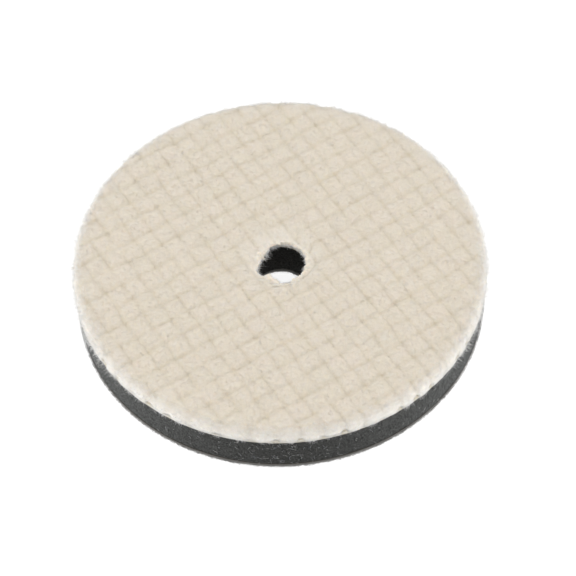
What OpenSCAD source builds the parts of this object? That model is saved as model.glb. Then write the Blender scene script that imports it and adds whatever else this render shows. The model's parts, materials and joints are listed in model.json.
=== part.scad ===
// Round wool-faced polishing pad: a laminate of cut wool pile, foam and hook-and-loop backing,
// die-cut to one outline with a centring hole. Millimetres, +Z up through the wool face.
// The origin is the centre of the loop face, the face that the backing plate grips.

/* [Outline] */
// Diameter over the wool pile
pad_d = 150; // [75:1:200]
// Diameter of the centring hole through every layer
hole_d = 20.4; // [12:0.2:24]
// How far the wool pile stands out past the cut edge of the layers under it
pile_overhang = 0.2; // [0:0.1:1]

/* [Wool face] */
// Height of the cut wool pile above its ground cloth
pile_t = 6.4; // [5:0.1:12]
// Radius of the pile's rounded outer shoulder
shoulder_r = 3.2; // [1:0.1:4]
// Radius of the pile's rounded lip at the centring hole
lip_r = 2.6; // [1:0.1:4]
// Thickness of the knitted cloth that binds the wool tufts
pile_cloth_t = 0.9; // [0.5:0.1:1.5]

/* [Foam] */
// Thickness of the foam body
foam_t = 13.8; // [6:0.1:40]
// Width of the small bevel that the cutting die leaves round the foam's lower edge
foam_bevel = 0.4; // [0.2:0.1:1]

/* [Backing] */
// Thickness of each hot-melt film that bonds a cloth to the foam
glue_t = 0.25; // [0.1:0.05:0.5]
// Thickness of the knitted cloth that carries the loops
loop_cloth_t = 0.6; // [0.3:0.1:1]
// Height of the brushed loops
loop_nap_t = 1.2; // [0.6:0.1:2.5]

/* [Hidden] */
$fn = 96;

hole_r = hole_d / 2;
pile_r = pad_d / 2;
cut_r = pile_r - pile_overhang;

// Height of the underside of each layer, from the loop face up
loop_cloth_z = loop_nap_t;
back_glue_z = loop_cloth_z + loop_cloth_t;
foam_z = back_glue_z + glue_t;
face_glue_z = foam_z + foam_t;
pile_cloth_z = face_glue_z + glue_t;
pile_z = pile_cloth_z + pile_cloth_t;

// One flat die-cut layer of thickness t, with its underside at height z
module die_cut_layer(z, t) {
    rotate_extrude() translate([hole_r, z]) square([cut_r - hole_r, t]);
}

// Brushed loops that the plate's hooks catch
module loop_nap() {
    color("dimgray") die_cut_layer(0, loop_nap_t);
}

// Knitted cloth under the loops
module loop_ground_cloth() {
    color("#3a332c") die_cut_layer(loop_cloth_z, loop_cloth_t);
}

// Hot-melt film between the loop cloth and the foam
module back_glue_film() {
    color("#5b4a35") die_cut_layer(back_glue_z, glue_t);
}

// Open-cell polyurethane foam that lets the face follow a curved panel, bevelled at its lower edge
module foam_body() {
    color("#3c3d3d") rotate_extrude() polygon([
        [hole_r, foam_z],
        [cut_r - foam_bevel, foam_z],
        [cut_r, foam_z + foam_bevel],
        [cut_r, foam_z + foam_t],
        [hole_r, foam_z + foam_t]
    ]);
}

// Hot-melt film between the foam and the wool's ground cloth
module face_glue_film() {
    color("#d9d2bd") die_cut_layer(face_glue_z, glue_t);
}

// Knitted cloth that binds the foot of every wool tuft
module pile_ground_cloth() {
    color("#efece4") die_cut_layer(pile_cloth_z, pile_cloth_t);
}

// Cut wool pile, sheared flat, which rolls over at the rim and at the hole
module wool_pile() {
    color("#dcd2bf") rotate_extrude() union() {
        translate([hole_r + lip_r, pile_z]) square([pile_r - shoulder_r - hole_r - lip_r, pile_t]);
        translate([pile_r - shoulder_r, pile_z]) square([shoulder_r, pile_t - shoulder_r]);
        translate([pile_r - shoulder_r, pile_z + pile_t - shoulder_r]) circle(r = shoulder_r);
        translate([hole_r, pile_z]) square([lip_r, pile_t - lip_r]);
        translate([hole_r + lip_r, pile_z + pile_t - lip_r]) circle(r = lip_r);
    }
}

loop_nap();
loop_ground_cloth();
back_glue_film();
foam_body();
face_glue_film();
pile_ground_cloth();
wool_pile();
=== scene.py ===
"""A round wool-faced polishing pad: wool pile over foam on a hook-and-loop back, with a centring hole.

It is built in the order that the pad is laminated, from the loops that the backing plate grips up to the
sheared wool. Sizes are in millimetres, and a mesh is turned to the frame's metres as it is made.
"""
import json
import math

import bpy
import numpy as np
from mathutils import Matrix, Vector


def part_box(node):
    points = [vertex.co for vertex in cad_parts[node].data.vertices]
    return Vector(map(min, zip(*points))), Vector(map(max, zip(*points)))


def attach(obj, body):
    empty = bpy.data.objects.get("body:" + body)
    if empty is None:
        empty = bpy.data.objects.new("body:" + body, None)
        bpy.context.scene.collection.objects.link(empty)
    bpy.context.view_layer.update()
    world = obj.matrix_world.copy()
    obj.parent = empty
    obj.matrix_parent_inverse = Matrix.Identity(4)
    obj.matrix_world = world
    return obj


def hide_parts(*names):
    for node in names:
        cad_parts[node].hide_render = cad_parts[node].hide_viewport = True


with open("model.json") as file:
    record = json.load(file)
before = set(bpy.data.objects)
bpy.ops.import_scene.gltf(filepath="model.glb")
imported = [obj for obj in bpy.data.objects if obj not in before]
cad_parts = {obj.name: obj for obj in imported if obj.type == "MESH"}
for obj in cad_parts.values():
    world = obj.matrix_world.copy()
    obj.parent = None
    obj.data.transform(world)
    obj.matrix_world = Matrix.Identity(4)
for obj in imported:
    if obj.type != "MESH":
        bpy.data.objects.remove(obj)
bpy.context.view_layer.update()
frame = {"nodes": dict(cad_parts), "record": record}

# ---------------------------------------------------------------------------------------------- loop nap
# The pad's back: brushed polyester loops in a thick nap, which the hooks of the backing plate catch.
# They are knitted into their own ground cloth, raised with wire brushes, and cut with the rest of the pad.
MM = 0.001
hole_r = next(m["dims"]["r_mm"] for m in frame["record"]["mounts"] if m["name"] == "centre_hole")


def layer(node):
    """Height of a CAD layer's underside, height of its top, and its outer radius, in millimetres."""
    low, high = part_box(node)
    return low.z / MM, high.z / MM, high.x / MM


def straight(start, end, spacing):
    """Points (r, z) from start up to, but not at, end, about spacing apart."""
    steps = max(1, round(math.dist(start, end) / spacing))
    return np.linspace(start, end, steps, endpoint=False)


def hidden_face(start_r, end_r, z):
    """Points (r, z) of a flat face that another layer covers: only a few, in equal ratios."""
    return np.column_stack([np.geomspace(start_r, end_r, 6)[:-1], np.full(5, z)])


def ring_counts(profile, finest):
    """How many points stand on each ring: finest near the rim, halved each time that the radius halves."""
    halvings = np.floor(np.log2(profile[:, 0].max() / profile[:, 0]) + 1e-9).astype(int)
    return finest >> halvings


def ring_points(profile, counts):
    """A closed profile of points (r, z) carried round the axis: point k of ring j stands at the angle
    2 pi k / counts[j]. Returns the points and their outward normals. A normal is the profile's tangent
    turned a quarter, carried round with its point."""
    ring = np.repeat(np.arange(len(counts)), counts)
    turn = (np.arange(len(ring)) - np.repeat(np.cumsum(counts) - counts, counts)) / counts[ring]
    around = np.column_stack([np.cos(2 * np.pi * turn), np.sin(2 * np.pi * turn)])
    tangent = np.roll(profile, -1, 0) - np.roll(profile, 1, 0)
    tangent /= np.linalg.norm(tangent, axis=1, keepdims=True)
    normal = np.column_stack([tangent[:, 1], -tangent[:, 0]])
    return tuple(np.column_stack([around * line[ring, :1], line[ring, 1]]) for line in (profile, normal))


def ring_faces(counts):
    """Faces between neighbouring rings, the last joined to the first: quads where both rings hold the same
    number of points, and three triangles to each coarse step where one holds twice as many."""
    starts = np.cumsum(counts) - counts
    faces = []

    def point(ring, number):
        return starts[ring] + number % counts[ring]

    for low in range(len(counts)):
        high = (low + 1) % len(counts)
        i = np.arange(min(counts[low], counts[high]))
        if counts[low] == counts[high]:
            new = [(point(low, i), point(low, i + 1), point(high, i + 1), point(high, i))]
        elif counts[low] < counts[high]:
            new = [(point(low, i), point(high, 2 * i + 1), point(high, 2 * i)),
                   (point(low, i), point(low, i + 1), point(high, 2 * i + 1)),
                   (point(low, i + 1), point(high, 2 * i + 2), point(high, 2 * i + 1))]
        else:
            new = [(point(low, 2 * i), point(low, 2 * i + 1), point(high, i)),
                   (point(low, 2 * i + 1), point(high, i + 1), point(high, i)),
                   (point(low, 2 * i + 1), point(low, 2 * i + 2), point(high, i + 1))]
        for corners in new:
            faces += np.column_stack(corners).tolist()
    return faces


def waves(points, length, seed, count=40):
    """A smooth random field of about unit spread: the sum of plane waves in random directions, whose
    lengths lie round the given one."""
    random = np.random.default_rng(seed)
    direction = random.normal(size=(points.shape[1], count))
    direction /= np.linalg.norm(direction, axis=0)
    pace = 2 * np.pi / (length * random.uniform(0.75, 1.35, count))
    start = random.uniform(0, 2 * np.pi, count)
    return np.sin(points @ (direction * pace) + start).sum(1) / math.sqrt(count / 2)


def piece(name, points, faces, finish, **values):
    """A smooth-shaded mesh object from points in millimetres, with each named value kept on its points."""
    mesh = bpy.data.meshes.new(name)
    mesh.from_pydata(points * MM, [], faces)
    mesh.polygons.foreach_set("use_smooth", np.ones(len(faces), bool))
    for key, value in values.items():
        mesh.attributes.new(key, "FLOAT", "POINT").data.foreach_set("value", value.astype(np.float32))
    mesh.materials.append(finish)
    made = bpy.data.objects.new(name, mesh)
    bpy.context.scene.collection.objects.link(made)
    return made


def srgb(code):
    """An sRGB hex colour as the linear red, green, blue and alpha that a shader takes."""
    shares = [int(code[i:i + 2], 16) / 255 for i in (0, 2, 4)]
    return [s / 12.92 if s <= 0.04045 else ((s + 0.055) / 1.055) ** 2.4 for s in shares] + [1]


def new_finish(name, **sockets):
    """A material by name. Its shader's own sockets are set by name, with _ for each space."""
    finish = bpy.data.materials.new(name)
    finish.use_nodes = True
    tree = finish.node_tree
    shader = tree.nodes["Principled BSDF"]
    for socket, value in sockets.items():
        shader.inputs[socket.replace("_", " ")].default_value = value
    return finish, tree, shader


def add(tree, kind, inputs=None, **settings):
    """Adds a node with its settings. inputs gives sockets a value, or the socket that feeds them."""
    node = tree.nodes.new(kind)
    for name, value in settings.items():
        setattr(node, name, value)
    for name, value in (inputs or {}).items():
        if isinstance(value, bpy.types.NodeSocket):
            tree.links.new(value, node.inputs[name])
        else:
            node.inputs[name].default_value = value
    return node


# Brushed polyester: a matt mid grey in soft clumps, with a faint sheen where loops are seen side on. The
# loops underneath are 0.11 mm thick here, twice the real bundle of filaments, so that they show.
nap_finish, tree, shader = new_finish("brushed_polyester_loops", Roughness=0.85, IOR=1.57,
                                      Specular_IOR_Level=0.3, Sheen_Weight=0.25, Sheen_Roughness=0.5)
where = add(tree, "ShaderNodeTexCoord").outputs["Object"]
clumps = add(tree, "ShaderNodeTexNoise", {"Vector": where, "Scale": 1 / (1.6 * MM), "Detail": 3.0})
shade = add(tree, "ShaderNodeMix", {"Factor": clumps.outputs["Fac"],
                                    "A": srgb("6a6967"), "B": srgb("989693")}, data_type="RGBA")
tree.links.new(shade.outputs["Result"], shader.inputs["Base Color"])
grain = add(tree, "ShaderNodeTexNoise", {"Vector": where, "Scale": 1 / (0.25 * MM), "Detail": 2.0})
bump = add(tree, "ShaderNodeBump", {"Height": grain.outputs["Fac"], "Strength": 0.5, "Distance": 0.1 * MM})
tree.links.new(bump.outputs["Normal"], shader.inputs["Normal"])

# The felt's underside stands above the plate by the height of the loops that hang from it, and its edges
# wander by edge_wander.
nap_low, nap_high, nap_r = layer("loop_nap")
nap_floor = nap_low + 0.45
edge_wander = 0.08
nap_under = straight((hole_r, nap_floor), (nap_r, nap_floor), 0.8)
nap_profile = np.concatenate([
    straight((nap_r, nap_floor), (nap_r, nap_high), 0.25),
    hidden_face(nap_r, hole_r, nap_high),
    straight((hole_r, nap_high), (hole_r, nap_floor), 0.25),
    nap_under,
])
nap_counts = ring_counts(nap_profile, 640)
points, normals = ring_points(nap_profile, nap_counts)
felted = np.where(points[:, 2] < nap_high - 0.01, edge_wander * waves(points, 1.5, 1), 0)
loop_nap = piece("loop_nap_felt", points + normals * felted[:, None], ring_faces(nap_counts), nap_finish)
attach(loop_nap, "root")
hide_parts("loop_nap")


def scattered(profile, count, random):
    """Random places, even by area, on the surface that an open profile makes when it is carried round the
    axis. Returns the points and their outward normals."""
    span = np.diff(profile, axis=0)
    reach = np.linalg.norm(span, axis=1)
    area = reach * (profile[1:, 0] + profile[:-1, 0])
    which = random.choice(len(span), count, p=area / area.sum())
    place = profile[which] + random.random((count, 1)) * span[which]
    normal = np.column_stack([span[:, 1], -span[:, 0]])[which] / reach[which, None]
    turn = random.uniform(0, 2 * np.pi, count)
    around = np.column_stack([np.cos(turn), np.sin(turn)])
    return tuple(np.column_stack([around * line[:, :1], line[:, 1]]) for line in (place, normal))


def unit(vectors):
    """Each vector at length 1."""
    return vectors / np.maximum(np.linalg.norm(vectors, axis=-1, keepdims=True), 1e-9)


def strands(paths, widths, side):
    """Three-sided strands along flat curves. paths is (strand, point, 3), widths is (strand, point), and side
    is the normal of each strand's own plane. The corners of a ring are its point plus half the width times
    the cosine and sine of a third of a turn, along side and its cross product with the tangent. The last
    point is the tip, and a triangle closes the foot. Returns points and faces."""
    count, length = paths.shape[:2]
    tangent = unit(np.gradient(paths, axis=1))[:, :-1]
    side = np.broadcast_to(unit(side)[:, None], tangent.shape)
    third = 2 * np.pi / 3 * np.arange(3)[:, None]
    ring = side[:, :, None] * np.cos(third) + np.cross(tangent, side)[:, :, None] * np.sin(third)
    ring = paths[:, :-1, None] + ring * widths[:, :-1, None, None] / 2
    points = np.concatenate([ring.reshape(count, -1, 3), paths[:, -1:]], 1)
    wall = [(3 * j + k, 3 * j + (k + 1) % 3, 3 * j + 3 + (k + 1) % 3, 3 * j + 3 + k)
            for j in range(length - 2) for k in range(3)]
    end = 3 * (length - 2)
    caps = [(end, end + 1, end + 3), (end + 1, end + 2, end + 3), (end + 2, end, end + 3), (2, 1, 0)]
    first = np.arange(count)[:, None, None] * points.shape[1]
    faces = [corners for form in (wall, caps) if form
             for corners in (first + np.array(form)).reshape(-1, len(form[0])).tolist()]
    return points.reshape(-1, 3), faces


def arches(roots, normals, random, width, height, thickness):
    """Loops that leave the felt and return to it: at t from 0 to 1 a loop has gone half its width times
    (1 - cos pi t) along its own heading, and stands height times sin pi t out of the felt."""
    heading = unit(np.cross(normals, random.normal(size=roots.shape)))
    size = random.uniform(0.7, 1.3, (len(roots), 1, 1))
    t = np.linspace(0, 1, 5)[None, :, None]
    paths = roots[:, None] + size * (heading[:, None] * (width / 2 * (1 - np.cos(np.pi * t)))
                                     + normals[:, None] * (height * np.sin(np.pi * t) - 0.05))
    paths[..., 2] = np.maximum(paths[..., 2], nap_low + thickness / 2)
    return strands(paths, np.full(paths.shape[:2], thickness), np.cross(heading, normals))


underside_loops = 7600
rim_loops = 4600
hole_loops = 420
random = np.random.default_rng(11)
roots, normals = scattered(nap_under, underside_loops, random)
points, faces = arches(roots, normals, random, width=1.3, height=0.42, thickness=0.11)
nap_loops = piece("loop_nap_loops", points, faces, nap_finish)
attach(nap_loops, "root")

rim_edge = np.array([(nap_r, nap_floor), (nap_r, nap_high)])
hole_edge = np.array([(hole_r, nap_high), (hole_r, nap_floor)])
rim_roots, rim_normals = scattered(rim_edge, rim_loops, random)
hole_roots, hole_normals = scattered(hole_edge, hole_loops, random)
roots = np.concatenate([rim_roots, hole_roots])
normals = np.concatenate([rim_normals, hole_normals])
points, faces = arches(roots, normals, random, width=0.6, height=0.55, thickness=0.06)
nap_fringe = piece("loop_nap_cut_edge", points, faces, nap_finish)
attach(nap_fringe, "root")

# --------------------------------------------------------------------------------------- loop ground cloth
# The warp-knitted polyester that holds the loops, cut to a ring and bonded to the foam with hot-melt film.
# Only its cut edge shows, as a row of small stitches.


def arc(centre, radius, begin, end, spacing):
    """Points (r, z) on a circle, from the angle begin up to, but not at, end, in degrees."""
    steps = max(2, round(abs(math.radians(end - begin)) * radius / spacing))
    angle = np.radians(np.linspace(begin, end, steps, endpoint=False))
    return np.asarray(centre) + radius * np.column_stack([np.cos(angle), np.sin(angle)])


def knitted_ring(low, high, outer, stitch, depth):
    """A cloth ring whose two cut edges are rows of stitches: each edge is a half circle in section, and is
    drawn in by depth times 1 less |sin| of the way round it, so that it meets its outline once a stitch."""
    middle = (low + high) / 2
    half = (high - low) / 2
    profile = np.concatenate([
        arc((outer - half, middle), half, -90, 90, 0.2),
        hidden_face(outer - half, hole_r + half, high),
        arc((hole_r + half, middle), half, 90, 270, 0.2),
        hidden_face(hole_r + half, outer - half, low),
    ])
    counts = ring_counts(profile, 2560)
    points, normals = ring_points(profile, counts)
    radius = np.hypot(points[:, 0], points[:, 1])
    turn = np.arctan2(points[:, 1], points[:, 0])
    edge_r = np.where(radius > 2 * hole_r, outer, hole_r)
    stitches = np.round(2 * np.pi * edge_r / stitch)
    drawn_in = depth * (1 - np.abs(np.sin(stitches * turn / 2))) * np.hypot(normals[:, 0], normals[:, 1])
    return points - normals * drawn_in[:, None], ring_faces(counts)


# Knitted polyester: a dull textile, here brown-grey, with the shine of the filaments lost in the stitches.
cloth_finish, tree, shader = new_finish("warp_knit_polyester", Roughness=0.8, IOR=1.57,
                                        Specular_IOR_Level=0.3, Sheen_Weight=0.2)
where = add(tree, "ShaderNodeTexCoord").outputs["Object"]
yarns = add(tree, "ShaderNodeTexNoise", {"Vector": where, "Scale": 1 / (0.5 * MM), "Detail": 3.0})
shade = add(tree, "ShaderNodeMix", {"Factor": yarns.outputs["Fac"],
                                    "A": srgb("4a4742"), "B": srgb("6a665f")}, data_type="RGBA")
tree.links.new(shade.outputs["Result"], shader.inputs["Base Color"])
bump = add(tree, "ShaderNodeBump", {"Height": yarns.outputs["Fac"], "Strength": 0.4, "Distance": 0.1 * MM})
tree.links.new(bump.outputs["Normal"], shader.inputs["Normal"])

cloth_low, cloth_high, cloth_r = layer("loop_ground_cloth")
points, faces = knitted_ring(cloth_low, cloth_high, cloth_r, stitch=1.1, depth=0.12)
loop_cloth = piece("loop_ground_cloth_knit", points, faces, cloth_finish)
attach(loop_cloth, "root")
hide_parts("loop_ground_cloth")

# ----------------------------------------------------------------------------------------- back glue film
# Hot-melt film, laid between the loop cloth and the foam and pressed hot, so that it soaks into both. The
# CAD ring is already its shape, so only its material is made here.


def hot_melt(name, dark, light):
    """Hot-melt adhesive: waxy and half clear, so it takes on the colours it has soaked into, in blotches a
    few millimetres across. Its cut edge is smoother than the layers on either side."""
    finish, tree, shader = new_finish(name, Roughness=0.65, IOR=1.48)
    where = add(tree, "ShaderNodeTexCoord").outputs["Object"]
    soaked = add(tree, "ShaderNodeTexNoise", {"Vector": where, "Scale": 1 / (3 * MM), "Detail": 2.0})
    shade = add(tree, "ShaderNodeMix", {"Factor": soaked.outputs["Fac"],
                                        "A": srgb(dark), "B": srgb(light)}, data_type="RGBA")
    tree.links.new(shade.outputs["Result"], shader.inputs["Base Color"])
    bump = add(tree, "ShaderNodeBump", {"Height": soaked.outputs["Fac"], "Strength": 0.3,
                                        "Distance": 0.1 * MM})
    tree.links.new(bump.outputs["Normal"], shader.inputs["Normal"])
    return finish


frame["nodes"]["back_glue_film"].data.materials[0] = hot_melt("amber_hot_melt", "35332f", "4a4741")

# ---------------------------------------------------------------------------------------------- foam body
# Charcoal open-cell polyurethane foam, which gives under the wool. It is sliced from a block, and a die
# cuts its wall, so the wall is a field of opened pores between thin struts.
foam_low, foam_high, foam_r = layer("foam_body")
foam_bevel = 0.4
pore = 1.0
pore_depth = 0.16
die_wander = 0.06
wall_spacing = 0.31
foam_profile = np.concatenate([
    straight((foam_r - foam_bevel, foam_low), (foam_r, foam_low + foam_bevel), 0.2),
    straight((foam_r, foam_low + foam_bevel), (foam_r, foam_high), wall_spacing),
    hidden_face(foam_r, hole_r, foam_high),
    straight((hole_r, foam_high), (hole_r, foam_low), wall_spacing),
    hidden_face(hole_r, foam_r - foam_bevel, foam_low),
])
foam_counts = ring_counts(foam_profile, 1920)
points, normals = ring_points(foam_profile, foam_counts)

# The wall is dented by pore_depth times the crests of two random fields, the second of smaller pores and
# half as deep, and it follows the die's line only to about die_wander. Its colour carries painted side
# light: paler at the two sides, least at the front and back. The wall of the hole gets none of it, so its
# dark colour there is painted shade.
on_wall = np.hypot(normals[:, 0], normals[:, 1])
pores = np.maximum(0, waves(points, pore, 21)) + 0.5 * np.maximum(0, waves(points, pore * 0.6, 22))
uneven = die_wander * waves(points, 9, 23)
radius = np.hypot(points[:, 0], points[:, 1])
sideways = np.abs(points[:, 0] / radius)
# Painted light and shade: this share pales the colour towards the two sides, and is 0 in the hole.
rubbed_share = np.where(radius > 2 * hole_r, np.minimum(1, 0.36 + 0.8 * sideways ** 1.5), 0)
points += normals * ((uneven - pore_depth * pores) * on_wall)[:, None]

# Cut foam: matt and speckled. The struts' cut ends catch light, and the pores behind them are nearly black.
# Painted side light makes it a paler grey towards the two sides, and painted shade makes it darkest
# in the hole.
foam_finish, tree, shader = new_finish("open_cell_polyurethane_foam", Roughness=0.9, IOR=1.5,
                                       Specular_IOR_Level=0.15, Sheen_Weight=0.1, Sheen_Roughness=0.4)
where = add(tree, "ShaderNodeTexCoord").outputs["Object"]
rubbed = add(tree, "ShaderNodeAttribute", attribute_name="rubbed").outputs["Fac"]
cells = add(tree, "ShaderNodeTexNoise", {"Vector": where, "Scale": 1 / (0.5 * MM), "Detail": 2.0})
struts = add(tree, "ShaderNodeMapRange", {"Value": cells.outputs["Fac"], "From Min": 0.4, "From Max": 0.75})
# A shaded and a lit copy of the foam's colour, for the painted shade and the painted side light.
shaded_foam_tone = add(tree, "ShaderNodeMix", {"Factor": struts.outputs["Result"],
                                    "A": srgb("161613"), "B": srgb("2c2b27")}, data_type="RGBA")
lit_foam_tone = add(tree, "ShaderNodeMix", {"Factor": struts.outputs["Result"],
                                   "A": srgb("383938"), "B": srgb("6a6b6a")}, data_type="RGBA")
shade = add(tree, "ShaderNodeMix", {"Factor": rubbed, "A": shaded_foam_tone.outputs["Result"],
                                    "B": lit_foam_tone.outputs["Result"]}, data_type="RGBA")
tree.links.new(shade.outputs["Result"], shader.inputs["Base Color"])
bump = add(tree, "ShaderNodeBump", {"Height": struts.outputs["Result"], "Strength": 0.5,
                                    "Distance": 0.2 * MM})
tree.links.new(bump.outputs["Normal"], shader.inputs["Normal"])

foam = piece("foam_body_cut", points, ring_faces(foam_counts), foam_finish, rubbed=rubbed_share)
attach(foam, "root")
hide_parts("foam_body")

# ------------------------------------------------------------------------------------------ face glue film
# The same hot-melt film under the wool's ground cloth, pressed hot in the same way, and milky where it has
# soaked into white yarn. Its CAD ring is already its shape too.
frame["nodes"]["face_glue_film"].data.materials[0] = hot_melt("milky_hot_melt", "b9b3a4", "d8d3c6")

# --------------------------------------------------------------------------------------- pile ground cloth
# The off-white knit that binds the foot of every wool tuft, bonded to the foam with the film below it. Its
# cut edge is a row of stitches too, mostly covered by the wool that spills over it.

# Undyed knit: a dull off-white, a little darker between the yarns.
ground_finish, tree, shader = new_finish("undyed_knit", Roughness=0.85, IOR=1.55, Specular_IOR_Level=0.3,
                                         Sheen_Weight=0.2)
where = add(tree, "ShaderNodeTexCoord").outputs["Object"]
yarns = add(tree, "ShaderNodeTexNoise", {"Vector": where, "Scale": 1 / (0.5 * MM), "Detail": 3.0})
shade = add(tree, "ShaderNodeMix", {"Factor": yarns.outputs["Fac"],
                                    "A": srgb("d9d4c8"), "B": srgb("f0ede6")}, data_type="RGBA")
tree.links.new(shade.outputs["Result"], shader.inputs["Base Color"])
bump = add(tree, "ShaderNodeBump", {"Height": yarns.outputs["Fac"], "Strength": 0.4, "Distance": 0.1 * MM})
tree.links.new(bump.outputs["Normal"], shader.inputs["Normal"])

ground_low, ground_high, ground_r = layer("pile_ground_cloth")
points, faces = knitted_ring(ground_low, ground_high, ground_r, stitch=1.4, depth=0.2)
ground_cloth = piece("pile_ground_cloth_knit", points, faces, ground_finish)
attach(ground_cloth, "root")
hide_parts("pile_ground_cloth")

# ---------------------------------------------------------------------------------------------- wool pile
# Cream wool, bound into the ground cloth in square tufts and sheared flat. Between the tufts run seams,
# deepest where four tufts meet. The pile rolls over at the rim and at the hole, where nothing holds it up.
pile_low, pile_high, pile_r = layer("wool_pile")

# The plain form under the tufts: its radius and height, the rounding of its shoulder, the foot of the hem
# that hangs over the glue line, and the radius that the lip stands in to at the hole, with its rounding.
body_r = pile_r + 0.4
body_high = pile_high - 0.3
shoulder = 3.6
hem_low = foam_high + 0.6
lip_r = hole_r - 1.9
lip = 1.2

# Round the hole the pile leans by nap_lean along nap_way. Each lip lock is a place where the lip stands
# further in, or further back where the last number is negative: azimuth and half width in degrees, reach.
nap_lean = 2.3
nap_turn = math.radians(-59)
nap_way = np.array([math.cos(nap_turn), math.sin(nap_turn), 0])
lip_locks = [(154, 14, 0.7), (204, 15, -2.5), (233, 14, 1.2), (275, 22, -0.9), (298, 11, 0.6)]

# The quilt is two sets of parallel seams. Each set has the azimuth that it is counted along, the way from
# seam to seam, the place of one seam from the axis, and a depth. The columns are bowed, by bow at the rim.
row_turn = math.radians(30.8)
column_turn = math.radians(121.4)
row_pitch = 7.07
column_pitch = 7.67
row_start = 2.2
column_start = -2.24
row_depth = 0.3
column_depth = 0.31
crossing_depth = 0.02
bow = 0.7
seam_width = 1.0
seam_wander = 0.22
seam_unevenness = 0.28
crown_height = 0.15


def ease(value, low, high):
    """0 at low and short of it, 1 at high and past it, and a smooth step between. high may be the lower."""
    share = np.clip((value - low) / (high - low), 0, 1)
    return share * share * (3 - 2 * share)


def from_seam(across, pitch):
    """How far each place is from the nearest of the seams, which stand pitch apart."""
    return np.abs((across + pitch / 2) % pitch - pitch / 2)


def lobe(azimuth, middle, half_width):
    """1 at the azimuth middle, falling off as exp of minus the square of the way from it, in degrees."""
    away = (np.degrees(azimuth) - middle + 180) % 360 - 180
    return np.exp(-(away / half_width) ** 2)


def pile(points, normals):
    """The pile's own form, laid on its plain one. A point moves out along its normal by its tuft's crown and
    by the unevenness of the locks, and in by the depth of the seams, which falls off as exp of minus the
    square of the way from each. Partings open where seams reach the hem, and the hem is drawn in under the
    tufts. Round the hole the pile stands in or back by its lip locks, and then leans. Returns the points, how
    deep in a seam each lies with painted shadow added in the partings, and how far it shows the cut tips of
    the wool and not whole fibres, less the painted light on the slope into the hole."""
    radius = np.hypot(points[:, 0], points[:, 1])
    azimuth = np.arctan2(points[:, 1], points[:, 0])

    # How far each point is part of the rim, of the rim's wall, of the lip, of the hem, and of the pile's foot
    rim = ease(radius, body_r - 4.5, body_r - 0.8)
    wall = rim * ease(normals[:, 2], 0.8, 0.2)
    inner = ease(radius, lip_r + lip + 1.5, lip_r + 0.8)
    hem = ease(points[:, 2], pile_low, hem_low)
    foot = ease(points[:, 2], pile_low + 2.2, pile_low + 0.6)

    # The seams run over the top and then straight down the wall. They are wider at the rim, and one that
    # runs along the rim fades out there.
    plan = points[:, :2] * np.minimum(1, (body_r - 1.6) / radius)[:, None]
    across_rows = plan @ [math.cos(row_turn), math.sin(row_turn)] - row_start
    across_columns = plan @ [math.cos(column_turn), math.sin(column_turn)] - column_start
    across_columns -= bow * (radius / pile_r) ** 2
    rows = from_seam(across_rows + seam_wander * waves(plan, 24, 31), row_pitch)
    columns = from_seam(across_columns + seam_wander * waves(plan, 24, 32), column_pitch)
    width = seam_width + 0.5 * rim
    row_seam = np.exp(-(rows / width) ** 2) * (1 + seam_unevenness * waves(plan, 11, 33))
    column_seam = np.exp(-(columns / (width * 1.15)) ** 2) * (1 + seam_unevenness * waves(plan, 11, 34))
    row_seam *= 1 - rim * (1 - np.abs(np.sin(azimuth - row_turn)))
    column_seam *= 1 - rim * (1 - np.abs(np.sin(azimuth - column_turn)))
    seam = row_depth * row_seam + column_depth * column_seam + crossing_depth * row_seam * column_seam
    seam *= 1 - 0.8 * inner

    # A crown is 0 at the seams and 1 in the middle of its tuft. The locks are about 2.4 and 1.2 mm across.
    # Partings open in some stretches of the rim.
    crown = np.sqrt((1 - (1 - 2 * rows / row_pitch) ** 4) * (1 - (1 - 2 * columns / column_pitch) ** 4))
    locks = 0.036 * waves(points, 2.4, 35) + 0.022 * waves(points, 1.2, 36, 60)
    parted = ease(waves(plan, 26, 38), -0.5, 0.5)
    parting = rim * parted * np.clip(np.maximum(row_seam, column_seam), 0, 1) ** 3

    rise = crown_height * (1 - wall) * crown - seam * (0.6 + 0.2 * rim + 0.3 * wall)
    rise += locks * (1 + 0.5 * rim + 5 * inner) * (1 - 0.7 * hem)
    rise -= 1.8 * parting * foot
    rise += inner * sum(reach * lobe(azimuth, middle, half_width) for middle, half_width, reach in lip_locks)
    formed = points + normals * (rise * (1 - 0.8 * hem) - 0.65 * hem)[:, None]

    # The lean fades out away from the hole, and down the pile towards the cloth that holds it
    free = ease(points[:, 2], body_high - 3.2, body_high - lip)
    lean = nap_lean * ease(radius, lip_r + 6, lip_r + 1.5) * free
    formed += lean[:, None] * nap_way
    formed[:, 2] += hem * (0.1 * waves(plan, 2.5, 37) + 0.9 * parting)

    # Whole fibres show towards the rim. The pile is a little paler all round the hole, and the slope that
    # faces into the hole is painted paler still, as painted light against its shade.
    pale_and_lip_light = 0.1 * ease(radius, body_r - 9, body_r - 2) + 0.35 * ease(radius, body_r - 3.5, body_r - 0.2)
    pale_and_lip_light += 0.16 * ease(radius, hole_r + 8, hole_r) + 0.4 * inner * ease(normals[:, 2], 0.5, -0.3)
    # Painted shade: the seams' colour share, which in the partings at the foot is raised as painted shadow.
    shown_tan_and_shade = np.clip(seam, 0, 1) * (1 - 0.2 * rim) + 1.5 * parting * foot
    return formed, shown_tan_and_shade, np.clip(1 - pale_and_lip_light, 0, 1)
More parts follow.
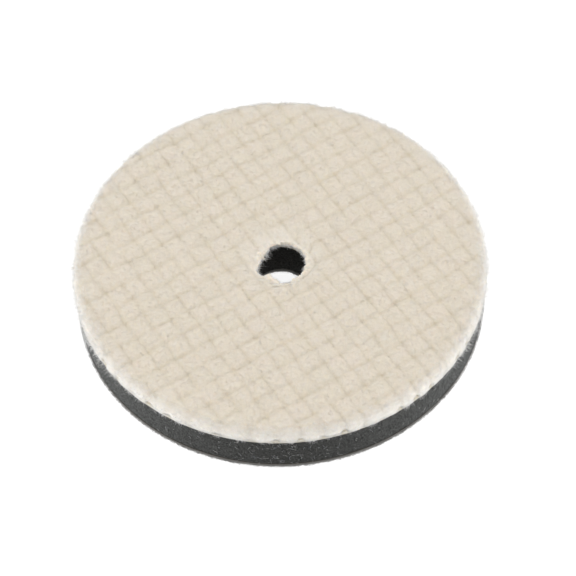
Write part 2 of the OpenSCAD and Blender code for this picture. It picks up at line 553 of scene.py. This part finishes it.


# Sheared wool: matt and warm cream on top, where the fibres' cut tips are seen end on, and paler and less
# yellow at the rim, where they are seen along their length. It is a little paler all round the hole, and
# on the slope into the hole it is painted paler still, as painted light. The seams are mixed towards a
# darker tan, partly the tone of the deeper wool and partly painted shade, and the partings by the hem get
# painted shadow. Light goes some way into it, so its shadows are soft and warm.
wool_finish, tree, shader = new_finish("sheared_wool", Roughness=0.95, IOR=1.55, Specular_IOR_Level=0.15,
                                       Sheen_Weight=0.15, Sheen_Roughness=0.6, Subsurface_Weight=0.8,
                                       Subsurface_Radius=(1.0, 0.85, 0.65), Subsurface_Scale=1.2 * MM)
where = add(tree, "ShaderNodeTexCoord").outputs["Object"]
sheared = add(tree, "ShaderNodeAttribute", attribute_name="sheared").outputs["Fac"]
seam = add(tree, "ShaderNodeAttribute", attribute_name="seam").outputs["Fac"]
fleece = add(tree, "ShaderNodeTexNoise", {"Vector": where, "Scale": 1 / (7 * MM), "Detail": 3.0})
cream = add(tree, "ShaderNodeMix", {"Factor": fleece.outputs["Fac"],
                                    "A": srgb("d7cfbe"), "B": srgb("dcd2c5")}, data_type="RGBA")
shade = add(tree, "ShaderNodeMix", {"Factor": sheared, "A": srgb("e6e6e5"),
                                    "B": cream.outputs["Result"]}, data_type="RGBA")
# Painted shade: the seams are mixed towards this darker tan, partly the deeper wool's tone, partly shade.
seam_shade = add(tree, "ShaderNodeMath", {0: seam, 1: 0.42}, operation="MULTIPLY")
shade = add(tree, "ShaderNodeMix", {"Factor": seam_shade.outputs["Value"], "A": shade.outputs["Result"],
                                    "B": srgb("b9aa88")}, data_type="RGBA")
fibre = add(tree, "ShaderNodeTexNoise", {"Vector": where, "Scale": 1 / (0.6 * MM), "Detail": 3.0})
speckle = add(tree, "ShaderNodeMapRange", {"Value": fibre.outputs["Fac"], "From Min": 0.3, "From Max": 0.7,
                                           "To Min": 0.95, "To Max": 1.02})
shade = add(tree, "ShaderNodeVectorMath", {0: shade.outputs["Result"], "Scale": speckle.outputs["Result"]},
            operation="SCALE")
tree.links.new(shade.outputs["Vector"], shader.inputs["Base Color"])
bump = add(tree, "ShaderNodeBump", {"Height": fibre.outputs["Fac"], "Strength": 0.4,
                                    "Distance": 0.15 * MM})
tree.links.new(bump.outputs["Normal"], shader.inputs["Normal"])

# The plain profile, from the hem up the rim, in over the top, and down the lip into the hole
pile_rim = np.concatenate([
    straight((body_r, hem_low), (body_r, body_high - shoulder), 0.36),
    arc((body_r - shoulder, body_high - shoulder), shoulder, 0, 90, 0.34),
])
pile_top = straight((body_r - shoulder, body_high), (lip_r + lip, body_high), 0.36)
lip_arc = arc((lip_r + lip, body_high - lip), lip, 90, 240, 0.25)
under_lip = (hole_r - 0.4, body_high - 2.8)
pile_lip = np.concatenate([
    lip_arc,
    straight(lip_arc[-1] + [0.25, -0.2], under_lip, 0.3),
    straight(under_lip, (hole_r - 0.2, hem_low - 0.1), 0.3),
])
pile_shown = np.concatenate([pile_rim, pile_top, pile_lip])
pile_profile = np.concatenate([pile_shown, hidden_face(hole_r - 0.05, foam_r + 0.05, pile_low)])
pile_counts = ring_counts(pile_profile, 1280)
points, normals = ring_points(pile_profile, pile_counts)
shown = pile_counts[:len(pile_shown)].sum()
points[:shown], seam_tan_and_shade, sheared_share = pile(points[:shown], normals[:shown])
under = np.zeros(len(points) - shown)
wool = piece("wool_pile_tufts", points, ring_faces(pile_counts), wool_finish,
             seam=np.concatenate([seam_tan_and_shade, under]), sheared=np.concatenate([sheared_share, under]))
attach(wool, "root")
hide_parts("wool_pile")

# -------------------------------------------------------------------------------------------- wool fibres
# The loose ends of the fleece, which blur every edge of the pile: short tips all over the sheared top, longer
# and paler ones round the rim, some that spill over the glue line, and a fringe in the hole. They are drawn
# at 0.05 to 0.12 mm, two to four times the real fibre, so that they show.


def fleece_ends(name, roots, normals, heading, reach, width, droop, points_each, whole=0):
    """Tapered fibres rooted in the pile: at t from 0 to 1 a fibre has gone reach times (t - 0.15) along its
    heading, so it starts inside the pile, and reach times t squared along its droop. It narrows as it goes,
    and closes to a point. whole is how far the fibres are seen along their length, paler than cut tips."""
    roots, seam_tan_and_shade, sheared_share = pile(roots, normals)
    heading = unit(heading)
    t = np.linspace(0, 1, points_each)[None, :, None]
    paths = roots[:, None] + reach[:, None, None] * (heading[:, None] * (t - 0.15) + droop[:, None] * t ** 2)
    widths = width[:, None] * (1 - 0.6 * np.linspace(0, 1, points_each))
    made_points, faces = strands(paths, widths, np.cross(heading, droop))
    each = len(made_points) // len(roots)
    # The fibres take on the pile's painted seam shade and painted lip light where they are rooted.
    made = piece(name, made_points, faces, wool_finish, seam=np.repeat(0.6 * seam_tan_and_shade, each),
                 sheared=np.repeat((1 - whole) * sheared_share, each))
    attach(made, "root")


# Half of the tips and of the rim's fibres each, so that no piece has too many triangles
half_top = 16000
half_rim = 9000
random = np.random.default_rng(41)
for number in (1, 2):
    roots, normals = scattered(pile_top, half_top, random)
    heading = normals * 0.25 + random.normal(size=roots.shape) * [0.7, 0.7, 0.08]
    fleece_ends(f"wool_tips_{number}", roots, normals, heading, reach=random.uniform(0.4, 1.2, len(roots)),
                width=random.uniform(0.06, 0.11, len(roots)),
                droop=random.normal(size=roots.shape) * [0.35, 0.35, 0.1], points_each=3)

# Round the rim, from just above the hem: shortest low on the wall, and at the front, where it is most worn
for number in (1, 2):
    roots, normals = scattered(pile_rim[3:], half_rim, random)
    heading = normals * 1.1 + random.normal(size=roots.shape) * 0.45
    droop = random.normal(size=roots.shape) * [0.3, 0.3, 0.1] - [0, 0, 0.2]
    front = ease(-roots[:, 1] / body_r, 0.2, 0.9)
    upper = ease(roots[:, 2], hem_low, hem_low + 3)
    reach = (1.0 + 4.3 * random.random(len(roots)) ** 1.5) * (0.4 + 0.6 * upper) * (1 - 0.6 * front)
    fleece_ends(f"wool_rim_{number}", roots, normals, heading, reach=reach,
                width=random.uniform(0.05, 0.10, len(roots)), droop=droop, points_each=3, whole=0.75)

# Along the hem, in locks that hang over the ground cloth and the glue line
spill_count = 9000
roots, normals = scattered(pile_rim[:5], spill_count, random)
spill = ease(waves(roots[:, :2], 6, 42), -0.5, 1.2)
heading = normals * 0.45 + random.normal(size=roots.shape) * 0.4 - [0, 0, 0.5]
reach = 0.3 + 1.3 * spill * random.random(len(roots)) ** 1.5
fleece_ends("wool_spill", roots, normals, heading, reach=reach,
            width=random.uniform(0.06, 0.11, len(roots)),
            droop=random.normal(size=roots.shape) * 0.25 - [0, 0, 0.3], points_each=4, whole=0.6)

# On the lower half of the lip only, because fibres on top of it would shade it. They are longest at the left.
fringe_count = 1800
roots, normals = scattered(lip_arc[len(lip_arc) // 2:-2], fringe_count, random)
left = lobe(np.arctan2(roots[:, 1], roots[:, 0]), 165, 50)
heading = normals * [0.6, 0.6, 0.2] + nap_way * 0.3 + random.normal(size=roots.shape) * 0.45
in_locks = ease(waves(roots, 1.4, 43), -0.6, 1.2)
reach = 0.4 + (1.0 + 1.8 * left) * in_locks * random.random(len(roots))
fleece_ends("wool_lip", roots, normals, heading, reach=reach,
            width=random.uniform(0.07, 0.12, len(roots)),
            droop=random.normal(size=roots.shape) * [0.3, 0.3, 0.15] - [0, 0, 0.1], points_each=4, whole=0.7)

# ---------------------------------------------------------------------------------------------------- lint
# Wool fibres that the pad has shed, which cling to the foam's open cells as small curls.
# They are thickest at the front, and drawn at 0.055 mm, twice the real fibre, so that they show.
count = 170
lint_width = 0.055
steps = 8
random = np.random.default_rng(51)
at_front = random.random(count) < 0.45
azimuth = np.where(at_front, random.normal(-90, 11, count), random.uniform(-180, 180, count))
height = random.uniform(foam_low + 1.0, foam_high - 0.4, count)
length = random.uniform(0.8, 3.0, count)
bend = random.normal(0, 2.2, count)

# A curl heads off at a random angle on the wall and turns evenly, by bend in all. Its middle stands clear.
t = np.linspace(0, 1, steps + 1)
angle = random.uniform(0, 2 * np.pi, count)[:, None] + bend[:, None] * t
step = (length / steps)[:, None]
along = np.cumsum(np.cos(angle) * step, axis=1)
upward = height[:, None] + np.cumsum(np.sin(angle) * step, axis=1)
around = np.radians(azimuth)[:, None] + along / foam_r
out = foam_r + 0.05 + 0.12 * np.sin(np.pi * t)
paths = np.stack([out * np.cos(around), out * np.sin(around), np.clip(upward, foam_low + 0.3, foam_high)], 2)
widths = np.full(paths.shape[:2], lint_width)
facing = np.column_stack([np.cos(np.radians(azimuth)), np.sin(np.radians(azimuth)), np.zeros(count)])
points, faces = strands(paths, widths, facing)
lint = piece("lint_on_foam", points, faces, wool_finish, sheared=np.zeros(len(points)),
             seam=np.full(len(points), 0.5))
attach(lint, "root")

# ------------------------------------------------------------------------------------------- floor and light
# A back-lit white table in a white room, as small goods are shown on: it gives light of its own, so the pad
# casts hardly any shadow on it and the hole is bright at the bottom.
table_finish, tree, shader = new_finish("opal_acrylic_table", Roughness=0.6, IOR=1.49,
                                        Base_Color=srgb("b0b0b0"), Emission_Color=srgb("ffffff"),
                                        Emission_Strength=0.86)
mesh = bpy.data.meshes.new("table")
half = 4.0  # metres
mesh.from_pydata([(-half, -half, 0), (half, -half, 0), (half, half, 0), (-half, half, 0)], [], [(0, 1, 2, 3)])
mesh.materials.append(table_finish)
table = bpy.data.objects.new("table", mesh)
bpy.context.scene.collection.objects.link(table)

room = bpy.data.worlds.new("white_room")
room.use_nodes = True
room.node_tree.nodes["Background"].inputs["Color"].default_value = (1, 1, 1, 1)
room.node_tree.nodes["Background"].inputs["Strength"].default_value = 0.80
bpy.context.scene.world = room


def softbox(name, place, size, power):
    """A square area light that faces the pad, with its place and size in metres and its power in watts."""
    light = bpy.data.lights.new(name, "AREA")
    light.size = size
    light.energy = power
    made = bpy.data.objects.new(name, light)
    made.location = place
    made.rotation_euler = (Vector(place) * -1).to_track_quat("-Z", "Y").to_euler()
    bpy.context.scene.collection.objects.link(made)


softbox("softbox_front", (0.1, -0.75, 0.85), 0.6, 0.35)
softbox("softbox_left", (-0.85, -0.03, 0.42), 0.5, 3.8)
softbox("softbox_right", (0.85, -0.03, 0.42), 0.5, 3.8)

# --------------------------------------------------------------------------------------------------- camera
# A long lens looks down on the pad from the front, held a little out of level. Its place is in metres: its
# distance, and how far it stands to its own right and above the line through the pad's origin.
distance = 0.8374
aside = 0.00254
above = 0.00236
down = math.radians(54.28)
tilt = math.radians(-1.87)
forward = Vector((0, math.cos(down), -math.sin(down)))
level_right = Vector((1, 0, 0))
level_up = level_right.cross(forward)
right = math.cos(tilt) * level_right + math.sin(tilt) * level_up
up = math.cos(tilt) * level_up - math.sin(tilt) * level_right
lens = bpy.data.cameras.new("camera")
lens.lens = 140.75
camera = bpy.data.objects.new("camera", lens)
place = distance * -forward + aside * right + above * up
camera.matrix_world = Matrix.Translation(place) @ Matrix((right, up, -forward)).transposed().to_4x4()
bpy.context.scene.collection.objects.link(camera)
bpy.context.scene.camera = camera
bpy.context.scene.view_settings.view_transform = "Standard"
